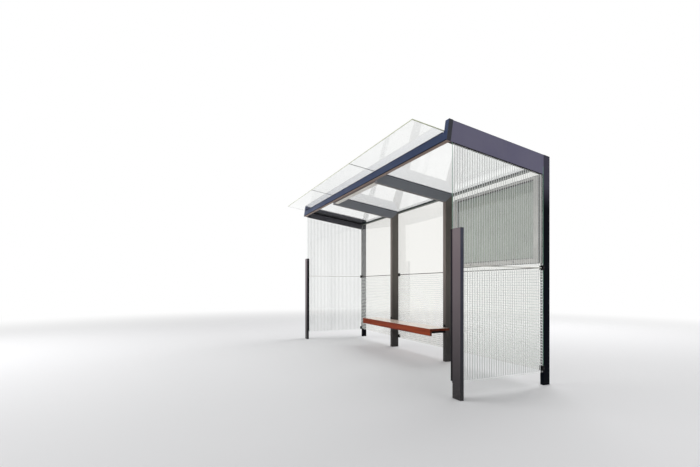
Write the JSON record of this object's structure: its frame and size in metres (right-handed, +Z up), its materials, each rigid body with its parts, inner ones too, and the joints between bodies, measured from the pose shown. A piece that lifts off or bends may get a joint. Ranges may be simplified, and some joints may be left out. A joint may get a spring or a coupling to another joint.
{
  "type": "tram shelter",
  "caption": "Glazed tram shelter: raked steel frames, glass roof and walls, half-height front posts, timber bench and information case with a flap door.",
  "frame": {"origin": "middle of the bounding box, at ground level", "axes": "+X along the platform to the end with the information case, +Y from the platform edge to the glazed back wall, +Z up"},
  "size_m": [4.736, 1.6742, 2.6132],
  "materials": {
    "frame_paint": "fine-textured anthracite powder coat on galvanised steel",
    "cap": "moulded black end cap",
    "clamp": "moulded black glazing clamp, modelled solid",
    "gasket": "extruded black glazing gasket",
    "rail": "dark coated glazing rail",
    "roof_glass": "laminated safety glass, slight green edge",
    "wall_glass": "toughened glass with fine printed lines",
    "case_glass": "clear toughened glass",
    "case_metal": "pale satin anodised",
    "case_board": "plain grey-green back panel",
    "lock_steel": "dark steel lock faces and hinge pin",
    "bench_timber": "oiled reddish hardwood",
    "lamp_metal": "powder coated lamp housing",
    "diffuser": "opal cover"
  },
  "bodies": {
    "shelter": {"bench_apron": "bench_timber", "case_board": "case_board", "case_body": "case_metal", "case_hinge_pin": "lock_steel", "far_back_rail": "rail", "far_beam_cap": "cap", "far_beam_corner": "frame_paint", "far_bench_bracket": "frame_paint", "far_clamp_bar": "frame_paint", "far_corner_clamps": "clamp", "far_corner_post": "frame_paint", "far_end_beam": "frame_paint", "far_end_lower_pane": "wall_glass", "far_end_upper_pane": "wall_glass", "far_front_post": "frame_paint", "far_lower_pane": "wall_glass", "far_middle_clamps": "clamp", "far_middle_post": "frame_paint", "far_rafter": "frame_paint", "far_roof_ledge": "frame_paint", "far_roof_pane": "roof_glass", "far_upper_pane": "wall_glass", "front_beam": "frame_paint", "front_plank": "bench_timber", "lamp_diffuser": "diffuser", "lamp_housing": "lamp_metal", "middle_back_rail": "rail", "middle_lower_pane": "wall_glass", "middle_plank": "bench_timber", "middle_roof_pane": "roof_glass", "middle_upper_pane": "wall_glass", "near_back_rail": "rail", "near_beam_cap": "cap", "near_beam_corner": "frame_paint", "near_bench_bracket": "frame_paint", "near_clamp_bar": "frame_paint", "near_corner_clamps": "clamp", "near_corner_post": "frame_paint", "near_end_beam": "frame_paint", "near_end_lower_pane": "wall_glass", "near_end_upper_pane": "wall_glass", "near_front_post": "frame_paint", "near_lower_pane": "wall_glass", "near_middle_clamps": "clamp", "near_middle_post": "frame_paint", "near_rafter": "frame_paint", "near_roof_ledge": "frame_paint", "near_roof_pane": "roof_glass", "near_upper_pane": "wall_glass", "rear_plank": "bench_timber", "roof_gasket": "gasket"},
    "case_door": {"case_door_frame": "case_metal", "case_door_pane": "case_glass", "case_locks": "lock_steel"}
  },
  "joints": [
    {"name": "case_door_hinge", "type": "hinge", "parent": "shelter", "child": "case_door", "pos_m": [1.52475, 0.70906, 2.21832], "axis": [-1, 0, 0], "range_deg": [0, 80]}
  ]
}
